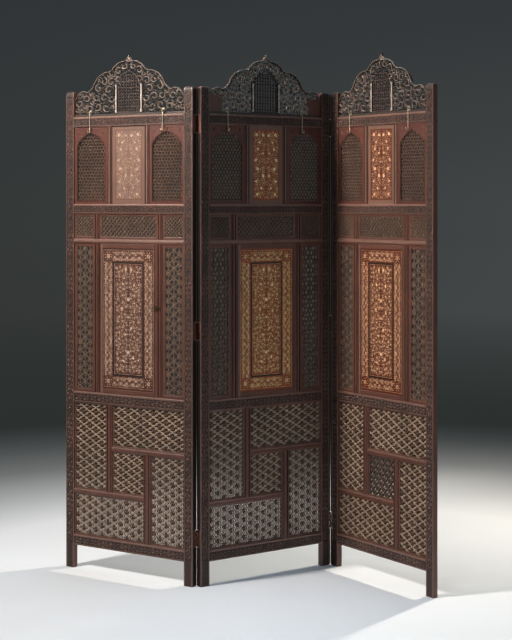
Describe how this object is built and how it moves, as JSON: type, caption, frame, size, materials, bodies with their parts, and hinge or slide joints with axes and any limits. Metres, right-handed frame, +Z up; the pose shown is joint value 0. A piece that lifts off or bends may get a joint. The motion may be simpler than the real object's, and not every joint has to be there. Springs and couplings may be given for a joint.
{
  "type": "folding screen",
  "caption": "Folding screen of hinged hardwood leaves in a zigzag, with pierced crests, bead-lattice grilles, inlaid upper panels, small inlaid doors and brass hooks.",
  "frame": {"origin": "middle of the floor under the bounding box of the screen as it stands open in a zigzag", "axes": "+Z up, -Y towards the viewer who sees the carved fronts, +X to the viewer's right along the row of leaves"},
  "size_m": [1.342, 0.4954, 1.906],
  "materials": {
    "carved_wood": "hand-carved hardwood, dark wax polish",
    "plain_wood": "planed hardwood, dark wax polish",
    "bead_wood": "turned hardwood beads and spindles, dark stain",
    "inlaid_wood": "orange-brown hardwood inlaid with bone and dark stringing",
    "brass": "aged brass",
    "steel": "plain steel"
  },
  "bodies": {
    "left_leaf": {"left_stile_l": "carved_wood", "left_stile_r": "carved_wood", "left_rails": "carved_wood", "left_bars": "plain_wood", "left_crest": "carved_wood", "left_crest_arch": "bead_wood", "left_arch_boards": "carved_wood", "left_upper_grilles": "bead_wood", "left_top_panel": "inlaid_wood", "left_lower_grilles": "bead_wood", "left_door_pivots": "steel", "left_hook_staples": "brass", "back_hinge_moving": "brass", "back_screws_moving": "steel", "catch_staple": "brass"},
    "middle_leaf": {"middle_stile_l": "carved_wood", "middle_stile_r": "carved_wood", "middle_rails": "carved_wood", "middle_bars": "plain_wood", "middle_crest": "carved_wood", "middle_crest_arch": "bead_wood", "middle_arch_boards": "carved_wood", "middle_upper_grilles": "bead_wood", "middle_top_panel": "inlaid_wood", "middle_lower_grilles": "bead_wood", "middle_door_pivots": "steel", "middle_hook_staples": "brass", "back_hinge_fixed": "brass", "back_screws_fixed": "steel", "front_hinge_fixed": "brass", "front_screws_fixed": "steel"},
    "right_leaf": {"right_stile_l": "carved_wood", "right_stile_r": "carved_wood", "right_rails": "carved_wood", "right_bars": "plain_wood", "right_crest": "carved_wood", "right_crest_arch": "bead_wood", "right_arch_boards": "carved_wood", "right_upper_grilles": "bead_wood", "right_top_panel": "inlaid_wood", "right_lower_grilles": "bead_wood", "right_door_pivots": "steel", "right_hook_staples": "brass", "front_hinge_moving": "brass", "front_screws_moving": "steel"},
    "left_door": {"left_door_frame": "plain_wood", "left_door_panel": "inlaid_wood", "catch_plate": "brass"},
    "middle_door": {"middle_door_frame": "plain_wood", "middle_door_panel": "inlaid_wood"},
    "right_door": {"right_door_frame": "plain_wood", "right_door_panel": "inlaid_wood"},
    "catch": {"catch_strap": "brass"},
    "left_hook_l_swing": {"left_hook_l": "brass"},
    "left_hook_r_swing": {"left_hook_r": "brass"},
    "middle_hook_l_swing": {"middle_hook_l": "brass"},
    "middle_hook_r_swing": {"middle_hook_r": "brass"},
    "right_hook_l_swing": {"right_hook_l": "brass"},
    "right_hook_r_swing": {"right_hook_r": "brass"}
  },
  "joints": [
    {"name": "left_fold", "type": "hinge", "parent": "middle_leaf", "child": "left_leaf", "pos_m": [-0.16904, -0.08256, 0.89], "axis": [0, 0, 1], "range_deg": [-112.5, 67.5]},
    {"name": "right_fold", "type": "hinge", "parent": "middle_leaf", "child": "right_leaf", "pos_m": [0.32249, 0.22841, 0.89], "axis": [0, 0, 1], "range_deg": [-83, 90.5]},
    {"name": "left_door_hinge", "type": "hinge", "parent": "left_leaf", "child": "left_door", "pos_m": [-0.52663, 0.12795, 0.938], "axis": [0, 0, -1], "range_deg": [0, 95]},
    {"name": "middle_door_hinge", "type": "hinge", "parent": "middle_leaf", "child": "middle_door", "pos_m": [-0.02444, 0.00087, 0.938], "axis": [0, 0, -1], "range_deg": [0, 95]},
    {"name": "right_door_hinge", "type": "hinge", "parent": "right_leaf", "child": "right_door", "pos_m": [0.42707, 0.09849, 0.938], "axis": [0, 0, -1], "range_deg": [0, 95]},
    {"name": "catch_hinge", "type": "hinge", "parent": "left_door", "child": "catch", "pos_m": [-0.32362, -0.01384, 0.982], "axis": [0, 0, -1], "range_deg": [0, 150]},
    {"name": "left_hook_l_hinge", "type": "hinge", "parent": "left_leaf", "child": "left_hook_l_swing", "pos_m": [-0.57562, 0.14374, 1.698], "axis": [-0.8434, 0.5373, 0], "range_deg": [0, 80]},
    {"name": "left_hook_r_hinge", "type": "hinge", "parent": "left_leaf", "child": "left_hook_r_swing", "pos_m": [-0.29477, -0.03518, 1.698], "axis": [-0.8434, 0.5373, 0], "range_deg": [0, 80]},
    {"name": "middle_hook_l_hinge", "type": "hinge", "parent": "middle_leaf", "child": "middle_hook_l_swing", "pos_m": [-0.05777, -0.03835, 1.698], "axis": [-0.8192, -0.5736, 0], "range_deg": [0, 80]},
    {"name": "middle_hook_r_hinge", "type": "hinge", "parent": "middle_leaf", "child": "middle_hook_r_swing", "pos_m": [0.215, 0.15266, 1.698], "axis": [-0.8192, -0.5736, 0], "range_deg": [0, 80]},
    {"name": "right_hook_l_hinge", "type": "hinge", "parent": "right_leaf", "child": "right_hook_l_swing", "pos_m": [0.38815, 0.13217, 1.698], "axis": [-0.5664, 0.8241, 0], "range_deg": [0, 80]},
    {"name": "right_hook_r_hinge", "type": "hinge", "parent": "right_leaf", "child": "right_hook_r_swing", "pos_m": [0.57676, -0.14226, 1.698], "axis": [-0.5664, 0.8241, 0], "range_deg": [0, 80]}
  ]
}
